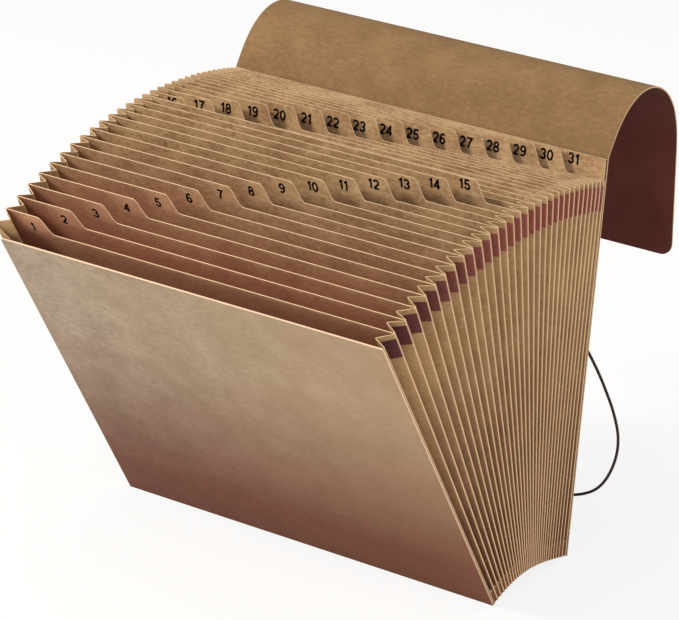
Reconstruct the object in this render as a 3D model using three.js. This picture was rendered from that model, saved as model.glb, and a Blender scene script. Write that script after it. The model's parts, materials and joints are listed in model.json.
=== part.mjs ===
// Expanding file with 31 numbered pockets, standing open like a fan.
// Units are millimetres. X runs along the pockets, the front panel faces -Y and +Z is up.
// The origin is on the floor, below the middle of the file.

import * as THREE from 'three';

// Driving dimensions of the file
const fileWidth = 298;
const pocketHeight = 256;
const tabRise = 14;
const pocketCount = 31;

// How far each panel leans forward of upright, in degrees, with the file standing open
const frontLean = 29;
const backLean = -7.9;

// Paper and board
const dividerThickness = 0.55;
const gussetThickness = 0.35;
const frontBoardThickness = 1.2;
const backBoardThickness = 1.2;
const boardCornerRadius = 2;
const clearance = 0.3;

// Bellows folds
const leafWidth = 11.5;
const foldGap = 0.05;
const pitchSpread = 2.4;
const glueStripWidth = leafWidth;
const glueSlantWidth = 9;
const glueSlantDrop = 4;
const footLift = 0.6;

// Reinforcing tape round the mouth of the bellows
const tapeWidth = 16;
const tapeInset = 4;
const tapeThickness = 0.12;
const tapeGap = 0.25;
const tapeFoldMinimum = 2;

// Index tabs: two banks of steps, each cut further along than the one in front
const firstBankCount = 15;
const tabPitch = 17;
const firstTabWidth = 25;
const tabSlopeRun = 6.5;
const tabCornerReach = 4.2;
const tabCornerSteps = 4;

// Flap: it leaves the back panel at a fold, curls over and hangs down behind
const flapThickness = 0.9;
const flapStartAngle = 57;
const flapTurn = 148;
const flapCurlLength = 139;
const flapTailLength = 70;
const flapCornerRadius = 9;
const flapCurlSteps = 26;
const flapCornerSteps = 6;

// Eyelet in the back panel, which holds both ends of the elastic cord
const eyeletAcross = 70;
const eyeletDrop = 38;
const eyeletBore = 2.5;
const eyeletWall = 0.6;
const eyeletRim = 1.7;
const eyeletRimThickness = 0.5;

// Elastic cord, hanging in a loop from the eyelet, as points of its centre line
const cordDiameter = 2;
const cordSides = 8;
const cordSteps = 78;
const cordPoints = [
  [71.15, 78.97, 230.1], [71.15, 82.77, 229.6], [71.3, 86.27, 228.2],
  [72.2, 88.57, 224.5], [74.5, 89.47, 218], [80, 89.57, 206],
  [90, 89.27, 190], [103, 88.87, 171.5], [117.5, 88.47, 152.5],
  [130.6, 88.27, 135.4], [143.4, 88.27, 116.3], [150.4, 88.27, 103.3],
  [155.4, 88.27, 92.4], [159.4, 88.27, 79.6], [160.4, 88.27, 71],
  [159.6, 88.27, 61.2], [156.6, 88.27, 50.6], [151.6, 88.27, 40.2],
  [145.2, 88.27, 32.1], [136.7, 88.27, 26.2], [123.4, 88.27, 21.2],
  [108, 88.27, 19.2], [92, 88.27, 22], [77, 88.27, 30],
  [65, 88.27, 44], [57.5, 88.47, 63], [54.5, 88.77, 86],
  [54.8, 89.07, 112], [57.2, 89.27, 140], [60.8, 89.47, 168],
  [64.6, 89.57, 194], [67.4, 89.47, 212], [68.6, 88.47, 223.6],
  [68.85, 86.17, 228.2], [68.85, 82.77, 229.6], [68.85, 78.97, 230.1],
];

const radians = Math.PI / 180;
const tabHeight = pocketHeight + tabRise;
const halfWidth = fileWidth / 2;
const mouthBand = tapeInset + tapeWidth;
const eyeletHeight = tabHeight - eyeletDrop;
const closedPitch = dividerThickness + 2 * (clearance + gussetThickness + foldGap);

function mix(start, end, share) {
  return start + (end - start) * share;
}

function smooth(share) {
  return share * share * (3 - 2 * share);
}

// The panels open widest at the front and close up towards the back
function leanAt(index) {
  const share = index / pocketCount;
  return mix(frontLean, backLean, 1.5 * share - 0.5 * share ** 3) * radians;
}

// A frame holds the foot of a panel and its directions in the YZ plane
function makeFrame(foot, lean) {
  const up = new THREE.Vector2(-Math.sin(lean), Math.cos(lean));
  const back = new THREE.Vector2(Math.cos(lean), Math.sin(lean));
  return { foot, lean, up, back };
}

// The feet of the panels lie on a low arch, with its two ends level
function makePanelFrames() {
  const leans = Array.from({ length: pocketCount + 1 }, (unused, index) => leanAt(index));
  const meanLean = leans.reduce((sum, lean) => sum + lean, 0) / leans.length;
  const feet = [new THREE.Vector2(0, 0)];
  for (let index = 1; index <= pocketCount; index += 1) {
    const share = (index - 0.5) / pocketCount;
    const pitch = closedPitch + pitchSpread * (2 * share - 1) ** 2;
    const slope = (leans[index - 1] + leans[index]) / 2 - meanLean;
    const step = new THREE.Vector2(pitch * Math.cos(slope), pitch * Math.sin(slope));
    feet.push(feet[index - 1].clone().add(step));
  }
  const levelTurn = -feet[pocketCount].angle();
  const middle = new THREE.Vector2(0, 0);
  return feet.map((foot, index) => {
    foot.rotateAround(middle, levelTurn);
    foot.y += footLift;
    return makeFrame(foot, leans[index]);
  });
}

const panelFrames = makePanelFrames();
const frontFrame = panelFrames[0];
const backFrame = panelFrames[pocketCount];

// The middle of each pocket, where the inner folds of the bellows lie
const pocketFrames = panelFrames.slice(1).map((frame, index) => {
  const ahead = panelFrames[index];
  const foot = ahead.foot.clone().add(frame.foot).multiplyScalar(0.5);
  return makeFrame(foot, (ahead.lean + frame.lean) / 2);
});

function pointOn(frame, across, height, behind) {
  const y = frame.foot.x + height * frame.up.x + behind * frame.back.x;
  const z = frame.foot.y + height * frame.up.y + behind * frame.back.y;
  return new THREE.Vector3(across, y, z);
}

function makeMaterial(name, color, roughness) {
  return new THREE.MeshStandardMaterial({ name, color, roughness, metalness: 0 });
}

const kraft = makeMaterial('kraft', 0xa58560, 0.85);
const kraftBoard = makeMaterial('kraft board', 0xb09070, 0.8);
const gussetPaper = makeMaterial('gusset paper', 0xb08c62, 0.85);
const tapeCloth = makeMaterial('reinforcing tape', 0x6a3430, 0.7);
const flapBoard = makeMaterial('flap board', 0x8a5f44, 0.75);
const elastic = makeMaterial('elastic', 0x2a1c1c, 0.8);
const eyeletMetal = new THREE.MeshStandardMaterial({
  name: 'eyelet',
  color: 0x8c7a5a,
  roughness: 0.4,
  metalness: 1,
});

function addMesh(group, name, geometry, material) {
  const mesh = new THREE.Mesh(geometry, material);
  mesh.name = name;
  group.add(mesh);
  return mesh;
}

// A flat sheet drawn as across and height, standing in a panel's frame
function addSheet(group, name, shape, frame, thickness, behind, material) {
  const settings = { depth: thickness, bevelEnabled: false, curveSegments: tabCornerSteps };
  const geometry = new THREE.ExtrudeGeometry(shape, settings);
  geometry.translate(0, 0, -behind - thickness / 2);
  const mesh = addMesh(group, name, geometry, material);
  mesh.rotation.x = Math.PI / 2 + frame.lean;
  mesh.position.set(0, frame.foot.x, frame.foot.y);
  return mesh;
}

// A body between two surfaces that share one grid of points, closed along all four edges
function closedGrid(outerRows, innerRows) {
  const rowCount = outerRows.length;
  const columnCount = outerRows[0].length;
  const positions = [];
  for (const rows of [outerRows, innerRows]) {
    for (const row of rows) {
      for (const point of row) {
        positions.push(point.x, point.y, point.z);
      }
    }
  }
  const innerStart = rowCount * columnCount;
  const indices = [];
  const quad = (a, b, c, d) => indices.push(a, b, c, a, c, d);
  for (let row = 0; row + 1 < rowCount; row += 1) {
    for (let column = 0; column + 1 < columnCount; column += 1) {
      const corner = row * columnCount + column;
      const across = corner + columnCount;
      quad(corner, corner + 1, across + 1, across);
      quad(innerStart + corner, innerStart + across, innerStart + across + 1, innerStart + corner + 1);
    }
  }
  for (let row = 0; row + 1 < rowCount; row += 1) {
    for (const column of [0, columnCount - 1]) {
      const first = row * columnCount + column;
      const second = first + columnCount;
      if (column === 0) {
        quad(first, second, innerStart + second, innerStart + first);
      } else {
        quad(second, first, innerStart + first, innerStart + second);
      }
    }
  }
  for (let column = 0; column + 1 < columnCount; column += 1) {
    for (const row of [0, rowCount - 1]) {
      const first = row * columnCount + column;
      const second = first + 1;
      if (row === 0) {
        quad(second, first, innerStart + first, innerStart + second);
      } else {
        quad(first, second, innerStart + second, innerStart + first);
      }
    }
  }
  const geometry = new THREE.BufferGeometry();
  geometry.setAttribute('position', new THREE.Float32BufferAttribute(positions, 3));
  geometry.setIndex(indices);
  if (signedVolume(positions, indices) < 0) {
    geometry.setIndex(indices.reverse());
  }
  geometry.computeVertexNormals();
  return geometry;
}

function signedVolume(positions, indices) {
  const corner = (index) => new THREE.Vector3().fromArray(positions, 3 * index);
  let volume = 0;
  for (let start = 0; start < indices.length; start += 3) {
    const [a, b, c] = [0, 1, 2].map((offset) => corner(indices[start + offset]));
    volume += a.dot(b.cross(c)) / 6;
  }
  return volume;
}

// Half the space that the fold round a panel's edge leaves inside
function halfFold(index) {
  return index === 0 ? clearance / 2 : dividerThickness / 2 + clearance;
}

// Half the room between the outer faces of two neighbouring leaves at a height
function halfRoom(index, height) {
  const ahead = pointOn(panelFrames[index - 1], 0, height, 0);
  const behind = pointOn(panelFrames[index], 0, height, 0);
  const used = halfFold(index) + gussetThickness;
  return ahead.distanceTo(behind) / 2 - used;
}

// How far a pocket's inner fold reaches in: less where the pocket stands open and its leaves spread
function foldDepth(index, height) {
  return Math.sqrt(leafWidth ** 2 - halfRoom(index, height) ** 2);
}

// The same in the band under the mouth that the tape covers, where the fold runs straight
function foldDepthInBand(index, height, mouthHeight) {
  const share = (mouthHeight - height) / mouthBand;
  return mix(foldDepth(index, mouthHeight), foldDepth(index, mouthHeight - mouthBand), share);
}

// One fold line of the bellows: depth from its outer edge at a height, and distance behind its frame
function foldLine(frame, outer, inner, topDrop = 0) {
  return { frame, outer, inner, topDrop };
}

// The bellows strip from front to back, with a glue strip behind the front and before the back
function bellowsProfile() {
  const lines = [];
  const ridgeLines = (index) => {
    const near = halfFold(index);
    const far = near + gussetThickness;
    return [-1, 1].map((side) => foldLine(
      panelFrames[index],
      { depthAt: () => 0, behind: side * far },
      { depthAt: () => gussetThickness, behind: side * near },
    ));
  };
  const glueLine = (index, side, depth, topDrop) => {
    const near = halfFold(index);
    const depthAt = () => depth;
    const outer = { depthAt, behind: side * (near + gussetThickness) };
    return foldLine(panelFrames[index], outer, { depthAt, behind: side * near }, topDrop);
  };
  const glueTopDrop = tabRise + glueSlantDrop;
  lines.push(glueLine(0, -1, glueStripWidth, glueTopDrop));
  lines.push(glueLine(0, -1, glueSlantWidth, glueTopDrop));
  lines.push(...ridgeLines(0));
  pocketFrames.forEach((frame, pocket) => {
    const innerDepth = (height) => foldDepth(pocket + 1, height);
    const outerDepth = (height) => innerDepth(height) - gussetThickness;
    for (const side of [-1, 1]) {
      lines.push(foldLine(
        frame,
        { depthAt: outerDepth, behind: side * foldGap },
        { depthAt: innerDepth, behind: side * (foldGap + gussetThickness) },
      ));
    }
    lines.push(...ridgeLines(pocket + 1));
  });
  lines.push(glueLine(pocketCount, 1, glueStripWidth, 0));
  return lines;
}

// The strip runs down the right side, along the bottom and up the left side, mitred at the corners
function addBellows(group) {
  const placesAlong = (line, depthAt) => {
    const acrossAt = (height) => halfWidth - depthAt(height);
    const bottomDepth = depthAt(0);
    return [
      [acrossAt(pocketHeight), pocketHeight - Math.max(line.topDrop - tabRise, 0)],
      [acrossAt(pocketHeight - mouthBand), pocketHeight - mouthBand],
      [acrossAt(0), bottomDepth],
      [-acrossAt(0), bottomDepth],
      [-acrossAt(tabHeight - mouthBand), tabHeight - mouthBand],
      [-acrossAt(tabHeight), tabHeight - line.topDrop],
    ];
  };
  const rowsOf = (surface) => bellowsProfile().map((line) => {
    const { depthAt, behind } = line[surface];
    return placesAlong(line, depthAt).map(([across, height]) => pointOn(line.frame, across, height, behind));
  });
  addMesh(group, 'bellows_gusset', closedGrid(rowsOf('outer'), rowsOf('inner')), gussetPaper);
}

// The tape follows the outside of the bellows, and bridges the root of a fold that is too narrow
function tapeLines(height, mouthHeight, offset) {
  const lines = [];
  const ridgePoint = (index, side) => {
    const behind = side * (halfFold(index) + gussetThickness + offset);
    return { frame: panelFrames[index], depth: -offset, behind };
  };
  lines.push({ ...ridgePoint(0, 0) });
  lines.push(ridgePoint(0, 1));
  for (let index = 1; index <= pocketCount; index += 1) {
    const room = halfRoom(index, height);
    const fullDepth = foldDepthInBand(index, height, mouthHeight) - gussetThickness;
    const depth = Math.max(fullDepth * (1 - (offset + foldGap) / room), tapeFoldMinimum);
    for (const side of [-1, 1]) {
      lines.push({ frame: pocketFrames[index - 1], depth, behind: side * foldGap });
    }
    lines.push(ridgePoint(index, -1));
    lines.push(index < pocketCount ? ridgePoint(index, 1) : ridgePoint(index, 0));
  }
  return lines;
}

function addTape(group, name, side, mouthHeight) {
  const heights = [mouthHeight - tapeInset, mouthHeight - tapeInset - tapeWidth];
  const rowsOf = (offset) => {
    const perHeight = heights.map((height) => tapeLines(height, mouthHeight, offset));
    return perHeight[0].map((unused, index) => heights.map((height, which) => {
      const { frame, depth, behind } = perHeight[which][index];
      return pointOn(frame, side * (halfWidth - depth), height, behind);
    }));
  };
  addMesh(group, name, closedGrid(rowsOf(tapeGap + tapeThickness), rowsOf(tapeGap)), tapeCloth);
}

// Where the step of a divider's tab starts, measured across the file
function shoulderOf(index) {
  const place = index <= firstBankCount ? index - 1 : index - 1 - firstBankCount;
  return firstTabWidth - halfWidth + tabPitch * place;
}

// High from the left edge to the step at its number, low from there to the right edge
function dividerShape(index) {
  const edge = halfWidth - gussetThickness - clearance;
  const foot = gussetThickness + clearance;
  const start = shoulderOf(index);
  const end = start + tabSlopeRun;
  const reach = tabCornerReach / Math.hypot(tabSlopeRun, tabRise);
  const alongSlope = reach * tabSlopeRun;
  const downSlope = reach * tabRise;
  const shape = new THREE.Shape();
  shape.moveTo(-edge, foot);
  shape.lineTo(edge, foot);
  if (end + tabCornerReach < edge && index < pocketCount) {
    shape.lineTo(edge, pocketHeight);
    shape.lineTo(end + tabCornerReach, pocketHeight);
    shape.quadraticCurveTo(end, pocketHeight, end - alongSlope, pocketHeight + downSlope);
    shape.lineTo(start + alongSlope, tabHeight - downSlope);
    shape.quadraticCurveTo(start, tabHeight, start - tabCornerReach, tabHeight);
  } else {
    shape.lineTo(edge, tabHeight);
  }
  shape.lineTo(-edge, tabHeight);
  shape.closePath();
  return shape;
}

function addDividers(group) {
  for (let index = 1; index <= pocketCount; index += 1) {
    const name = `divider_${String(index).padStart(2, '0')}`;
    addSheet(group, name, dividerShape(index), panelFrames[index], dividerThickness, 0, kraft);
  }
}

// A board with two small round corners at the top, if it has a free top edge
function boardShape(bottom, top, cornerRadius) {
  const shape = new THREE.Shape();
  shape.moveTo(-halfWidth, bottom);
  shape.lineTo(halfWidth, bottom);
  shape.lineTo(halfWidth, top - cornerRadius);
  if (cornerRadius > 0) {
    shape.absarc(halfWidth - cornerRadius, top - cornerRadius, cornerRadius, 0, Math.PI / 2, false);
    shape.absarc(cornerRadius - halfWidth, top - cornerRadius, cornerRadius, Math.PI / 2, Math.PI, false);
  } else {
    shape.lineTo(-halfWidth, top);
  }
  shape.closePath();
  return shape;
}

// The height in a frame at which a board's outer corner reaches the floor
function floorHeight(frame, behind) {
  return -(frame.foot.y + behind * frame.back.y) / frame.up.y;
}

const frontBehind = -(halfFold(0) + gussetThickness + clearance + frontBoardThickness / 2);
const backBehind = halfFold(pocketCount) + gussetThickness + clearance + backBoardThickness / 2;

function addFrontPanel(group) {
  const bottom = floorHeight(frontFrame, frontBehind - frontBoardThickness / 2);
  const shape = boardShape(bottom, pocketHeight, boardCornerRadius);
  addSheet(group, 'front_panel', shape, frontFrame, frontBoardThickness, frontBehind, kraftBoard);
}

function addBackPanel(group) {
  const bottom = floorHeight(backFrame, backBehind + backBoardThickness / 2);
  const shape = boardShape(bottom, tabHeight, 0);
  const hole = new THREE.Path();
  hole.absarc(eyeletAcross, eyeletHeight, eyeletBore + eyeletWall + clearance, 0, 2 * Math.PI, true);
  shape.holes.push(hole);
  addSheet(group, 'back_panel', shape, backFrame, backBoardThickness, backBehind, kraftBoard);
}

// The fold line between back panel and flap, just above the panel's edge
const creasePoint = pointOn(backFrame, 0, tabHeight + clearance + flapThickness / 2, backBehind);

function flapPath() {
  const tailSteps = 4;
  const length = flapCurlLength + flapTailLength;
  const stops = [];
  for (let step = 0; step <= flapCurlSteps; step += 1) {
    stops.push(flapCurlLength * step / flapCurlSteps);
  }
  const tailStart = flapCurlLength;
  const cornerStart = length - flapCornerRadius;
  for (let step = 1; step <= tailSteps; step += 1) {
    stops.push(mix(tailStart, cornerStart, step / tailSteps));
  }
  for (let step = 1; step <= flapCornerSteps; step += 1) {
    stops.push(cornerStart + flapCornerRadius * Math.sin(step / flapCornerSteps * Math.PI / 2));
  }
  return stops;
}

function flapAngle(distance) {
  const share = Math.min(distance / flapCurlLength, 1);
  return (flapStartAngle - flapTurn * smooth(share)) * radians;
}

// Half the flap's width, less where its two free corners are rounded
function flapHalfWidth(distance) {
  const intoCorner = distance - (flapCurlLength + flapTailLength - flapCornerRadius);
  if (intoCorner <= 0) {
    return halfWidth;
  }
  return halfWidth - flapCornerRadius + Math.sqrt(Math.max(flapCornerRadius ** 2 - intoCorner ** 2, 0));
}

function addFlap(group) {
  const finePieces = 8;
  const stops = flapPath();
  const outerRows = [];
  const innerRows = [];
  let place = new THREE.Vector2(creasePoint.y, creasePoint.z);
  stops.forEach((distance, index) => {
    if (index > 0) {
      const before = stops[index - 1];
      for (let piece = 0; piece < finePieces; piece += 1) {
        const angle = flapAngle(mix(before, distance, (piece + 0.5) / finePieces));
        const length = (distance - before) / finePieces;
        place = place.clone().add(new THREE.Vector2(Math.cos(angle), Math.sin(angle)).multiplyScalar(length));
      }
    }
    const angle = flapAngle(distance);
    const outward = new THREE.Vector2(-Math.sin(angle), Math.cos(angle)).multiplyScalar(flapThickness / 2);
    const half = flapHalfWidth(distance);
    const row = (sign) => [-half, half].map((across) => (
      new THREE.Vector3(across, place.x + sign * outward.x, place.y + sign * outward.y)
    ));
    outerRows.push(row(1));
    innerRows.push(row(-1));
  });
  addMesh(group, 'flap', closedGrid(outerRows, innerRows), flapBoard);
}

// A ring with a rim on the outside of the back panel
function addEyelet(group) {
  const outer = eyeletBore + eyeletWall;
  const rimStart = backBoardThickness / 2 + clearance;
  const profile = [
    [eyeletBore, -backBoardThickness / 2],
    [outer, -backBoardThickness / 2],
    [outer, rimStart],
    [outer + eyeletRim, rimStart],
    [outer + eyeletRim, rimStart + eyeletRimThickness],
    [eyeletBore, rimStart + eyeletRimThickness],
    [eyeletBore, -backBoardThickness / 2],
  ].map(([radius, along]) => new THREE.Vector2(radius, along));
  const geometry = new THREE.LatheGeometry(profile, 24);
  geometry.rotateX(-Math.PI / 2);
  geometry.translate(eyeletAcross, eyeletHeight, -backBehind);
  const mesh = addMesh(group, 'cord_eyelet', geometry, eyeletMetal);
  mesh.rotation.x = Math.PI / 2 + backFrame.lean;
  mesh.position.set(0, backFrame.foot.x, backFrame.foot.y);
}

function addCord(group) {
  const route = new THREE.CatmullRomCurve3(cordPoints.map((point) => new THREE.Vector3(...point)));
  const section = new THREE.Shape();
  for (let side = 0; side < cordSides; side += 1) {
    const angle = 2 * Math.PI * side / cordSides;
    const x = cordDiameter / 2 * Math.cos(angle);
    const y = cordDiameter / 2 * Math.sin(angle);
    if (side === 0) {
      section.moveTo(x, y);
    } else {
      section.lineTo(x, y);
    }
  }
  section.closePath();
  const settings = { steps: cordSteps, bevelEnabled: false, extrudePath: route };
  addMesh(group, 'elastic_cord', new THREE.ExtrudeGeometry(section, settings), elastic);
}

const expandingFile = new THREE.Group();
const body = new THREE.Group();
addFrontPanel(body);
addDividers(body);
addBellows(body);
addTape(body, 'mouth_tape_right', 1, pocketHeight);
addTape(body, 'mouth_tape_left', -1, tabHeight);
addBackPanel(body);
addFlap(body);
addEyelet(body);
body.updateMatrixWorld(true);
const extent = new THREE.Box3().setFromObject(body, true);
body.position.y = -(extent.min.y + extent.max.y) / 2;
body.position.z = -extent.min.z;
expandingFile.add(body);
addCord(expandingFile);

export default expandingFile;
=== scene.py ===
# Expanding file folder with 31 numbered pockets, standing open as a fan.
import json
import math
import random
import bpy
import bmesh
from mathutils import Matrix, Vector
from mathutils.bvhtree import BVHTree

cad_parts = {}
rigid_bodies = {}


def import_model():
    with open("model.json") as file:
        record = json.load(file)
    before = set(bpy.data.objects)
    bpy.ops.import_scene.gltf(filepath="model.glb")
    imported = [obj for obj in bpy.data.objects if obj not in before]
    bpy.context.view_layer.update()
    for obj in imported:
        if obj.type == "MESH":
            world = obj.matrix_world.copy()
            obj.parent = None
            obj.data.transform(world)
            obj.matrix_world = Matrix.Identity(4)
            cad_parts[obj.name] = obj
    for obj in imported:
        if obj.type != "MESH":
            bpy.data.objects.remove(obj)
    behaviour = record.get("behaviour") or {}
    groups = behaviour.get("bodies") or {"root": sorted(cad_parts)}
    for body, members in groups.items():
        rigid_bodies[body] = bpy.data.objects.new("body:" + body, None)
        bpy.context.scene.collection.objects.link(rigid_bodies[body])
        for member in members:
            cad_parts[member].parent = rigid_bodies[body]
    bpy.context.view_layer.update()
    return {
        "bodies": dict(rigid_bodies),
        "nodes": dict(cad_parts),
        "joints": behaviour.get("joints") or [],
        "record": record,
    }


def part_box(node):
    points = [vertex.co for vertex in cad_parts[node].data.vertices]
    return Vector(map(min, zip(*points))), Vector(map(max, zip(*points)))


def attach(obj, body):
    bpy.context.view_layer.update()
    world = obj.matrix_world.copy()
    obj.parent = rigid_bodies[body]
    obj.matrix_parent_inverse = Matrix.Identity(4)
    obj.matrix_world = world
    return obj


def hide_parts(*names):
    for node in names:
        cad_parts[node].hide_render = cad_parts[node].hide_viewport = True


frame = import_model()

# Sizes of the file, in millimetres, as in the part's source
MM = 0.001
FILE_WIDTH = 298
HALF_WIDTH = FILE_WIDTH / 2
POCKET_HEIGHT = 256
TAB_RISE = 14
TAB_HEIGHT = POCKET_HEIGHT + TAB_RISE
POCKET_COUNT = 31
FRONT_LEAN = 29
BACK_LEAN = -7.9
DIVIDER_THICKNESS = 0.55
GUSSET_THICKNESS = 0.35
BOARD_THICKNESS = 1.2
BOARD_CORNER_RADIUS = 2
CLEARANCE = 0.3
LEAF_WIDTH = 11.5
FOLD_GAP = 0.05
PITCH_SPREAD = 2.4
GLUE_STRIP_WIDTH = LEAF_WIDTH
GLUE_SLANT_WIDTH = 9
GLUE_SLANT_DROP = 4
FOOT_LIFT = 0.6
TAPE_WIDTH = 16
TAPE_INSET = 4
TAPE_OFFSET = 0.1
TAPE_THICKNESS = 0.1
TAPE_FOLD_MINIMUM = 2
FIRST_BANK_COUNT = 15
TAB_PITCH = 17
FIRST_TAB_WIDTH = 25
TAB_STEP_START = 0.4
TAB_STEP_RUN = 10.2
FLAP_THICKNESS = 0.9
FLAP_START_ANGLE = 57
FLAP_TURN = 148
FLAP_CURL_LENGTH = 139
FLAP_TAIL_LENGTH = 70
FLAP_CORNER_RADIUS = 9
EYELET_ACROSS = 70
EYELET_HEIGHT = TAB_HEIGHT - 38
EYELET_BORE = 2.5
EYELET_WALL = 0.6
EYELET_RIM = 1.7
EYELET_RIM_THICKNESS = 0.5
CLOSED_PITCH = DIVIDER_THICKNESS + 2 * (CLEARANCE + GUSSET_THICKNESS + FOLD_GAP)

# Printed numbers on the tabs, in millimetres
NUMBER_HEIGHT = 7.0
NUMBER_STROKE = 1.45
NUMBER_SPACING = 0.7
NUMBER_INK = 0.04
NUMBER_BEFORE_SHOULDER = 6.5
NUMBER_DRIFT = 3.0
NUMBER_LOW = 259.5
NUMBER_CLIMB = 6.0
NUMBER_SECOND_LOW = 262.0
NUMBER_SECOND_DIP = 3.5

# Camera, fitted to the photograph
CAMERA_PLACE = (1343.2, -1851.5, 1139.0)
CAMERA_AZIMUTH = 35.99
CAMERA_ELEVATION = 23.28
CAMERA_FOCAL_PIXELS = 3812
IMAGE_WIDTH_PIXELS = 679
SENSOR_WIDTH = 36.0


def mix(start, end, share):
    return start + (end - start) * share


def smooth(share):
    share = min(max(share, 0.0), 1.0)
    return share * share * (3 - 2 * share)


# The fan of panels

class PanelFrame:
    """The foot of a panel in the YZ plane, its lean, and its directions up and backwards."""

    def __init__(self, foot, lean):
        self.foot = foot
        self.lean = lean
        self.up = Vector((0, -math.sin(lean), math.cos(lean)))
        self.back = Vector((0, math.cos(lean), math.sin(lean)))

    def at(self, across, height, behind):
        """A point in millimetres."""
        return Vector((across, self.foot[0], self.foot[1])) + self.up * height + self.back * behind

    def matrix(self):
        """Local X across, Y up the panel and Z towards the front, in metres."""
        place = Matrix.Translation((0, self.foot[0] * MM, self.foot[1] * MM))
        return place @ Matrix.Rotation(math.pi / 2 + self.lean, 4, "X")


def lean_at(index):
    share = index / POCKET_COUNT
    return math.radians(mix(FRONT_LEAN, BACK_LEAN, 1.5 * share - 0.5 * share ** 3))


def fan_feet():
    """The feet of the panels on a low arch, with its two ends level."""
    leans = [lean_at(index) for index in range(POCKET_COUNT + 1)]
    mean_lean = sum(leans) / len(leans)
    feet = [complex(0, 0)]
    for index in range(1, POCKET_COUNT + 1):
        share = (index - 0.5) / POCKET_COUNT
        pitch = CLOSED_PITCH + PITCH_SPREAD * (2 * share - 1) ** 2
        slope = (leans[index - 1] + leans[index]) / 2 - mean_lean
        feet.append(feet[-1] + complex(pitch * math.cos(slope), pitch * math.sin(slope)))
    level = feet[-1].conjugate() / abs(feet[-1])
    return [foot * level for foot in feet], leans


def half_fold(index):
    """Half the space inside the fold round a panel's edge."""
    if index == 0:
        return CLEARANCE / 2
    return DIVIDER_THICKNESS / 2 + CLEARANCE


FRONT_BEHIND = -(half_fold(0) + GUSSET_THICKNESS + CLEARANCE + BOARD_THICKNESS / 2)
BACK_BEHIND = half_fold(1) + GUSSET_THICKNESS + CLEARANCE + BOARD_THICKNESS / 2


def make_fan():
    """All panel frames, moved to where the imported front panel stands."""
    feet, leans = fan_feet()
    first = PanelFrame((0, FOOT_LIFT), leans[0])
    front_top = first.at(0, POCKET_HEIGHT, FRONT_BEHIND - BOARD_THICKNESS / 2)
    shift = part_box("front_panel")[0][1] / MM - front_top.y
    return [
        PanelFrame((foot.real + shift, foot.imag + FOOT_LIFT), lean) for foot, lean in zip(feet, leans)]


PANELS = make_fan()
POCKETS = []
for ahead, behind in zip(PANELS, PANELS[1:]):
    middle = ((ahead.foot[0] + behind.foot[0]) / 2, (ahead.foot[1] + behind.foot[1]) / 2)
    POCKETS.append(PanelFrame(middle, (ahead.lean + behind.lean) / 2))

# Paper is never folded quite evenly: each inner fold's change of depth, and its sway as a share of its room
DEPTH_RANGE = (-0.7, 0.3)
SWAY_RANGE = (-0.25, 0.25)
EVEN_BELOW = 60
UNEVEN = random.Random(31)
FOLD_UNEVENNESS = [(UNEVEN.uniform(*DEPTH_RANGE), UNEVEN.uniform(*SWAY_RANGE)) for pocket in POCKETS]


def half_room(index, height):
    """Half the room between the outer faces of a pocket's two leaves."""
    apart = PANELS[index - 1].at(0, height, 0) - PANELS[index].at(0, height, 0)
    return apart.length / 2 - half_fold(index) - GUSSET_THICKNESS


def fold_depth(index, height):
    """How far a pocket's inner fold reaches in at a height; no two are folded quite alike."""
    depth = math.sqrt(LEAF_WIDTH ** 2 - half_room(index, height) ** 2)
    return depth + FOLD_UNEVENNESS[index - 1][0] * min(height / EVEN_BELOW, 1)


def fold_sway(index, height):
    """How far the inner fold lies off the middle of its pocket."""
    return FOLD_UNEVENNESS[index - 1][1] * half_room(index, height) * min(height / EVEN_BELOW, 1)


# Materials

def linear(hex_colour):
    """An sRGB hex colour as linear RGBA."""
    channels = []
    for start in (1, 3, 5):
        value = int(hex_colour[start:start + 2], 16) / 255
        channels.append(value / 12.92 if value <= 0.04045 else ((value + 0.055) / 1.055) ** 2.4)
    return (*channels, 1.0)


def add_node(tree, kind, inputs=None, **settings):
    """Adds a node, sets its properties, and links or sets its inputs by name or place."""
    node = tree.nodes.new(kind)
    for name, value in settings.items():
        setattr(node, name, value)
    for name, value in (inputs or {}).items():
        socket = node.inputs[name]
        if isinstance(value, bpy.types.NodeSocket):
            tree.links.new(value, socket)
        else:
            socket.default_value = value
    return node


def new_material(name):
    material = bpy.data.materials.new(name)
    material.use_nodes = True
    tree = material.node_tree
    tree.nodes.clear()
    return material, tree


def finish_material(tree, colour, roughness, bump=None, specular=0.3, metallic=0.0, sheen=0.0):
    inputs = {"Base Color": colour, "Roughness": roughness, "Specular IOR Level": specular}
    inputs["Metallic"] = metallic
    inputs["Sheen Weight"] = sheen
    shader = add_node(tree, "ShaderNodeBsdfPrincipled", inputs)
    if bump is not None:
        tree.links.new(bump, shader.inputs["Normal"])
    output = add_node(tree, "ShaderNodeOutputMaterial")
    tree.links.new(shader.outputs[0], output.inputs["Surface"])
    return shader


def per_metre(millimetres):
    """The scale of a texture whose features are that many millimetres across."""
    return 1000.0 / millimetres


def lay_over(tree, under, over, pattern, low=0.0, high=1.0, most=1.0, blend="MIX"):
    """Lays one colour over another where a pattern rises from low to high, by that share at most."""
    share = add_node(tree, "ShaderNodeMapRange", {
        "Value": pattern, "From Min": low, "From Max": high, "To Max": most}).outputs[0]
    inputs = {0: share, 6: under, 7: over}
    return add_node(tree, "ShaderNodeMix", inputs, data_type="RGBA", blend_type=blend).outputs[2]


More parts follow.
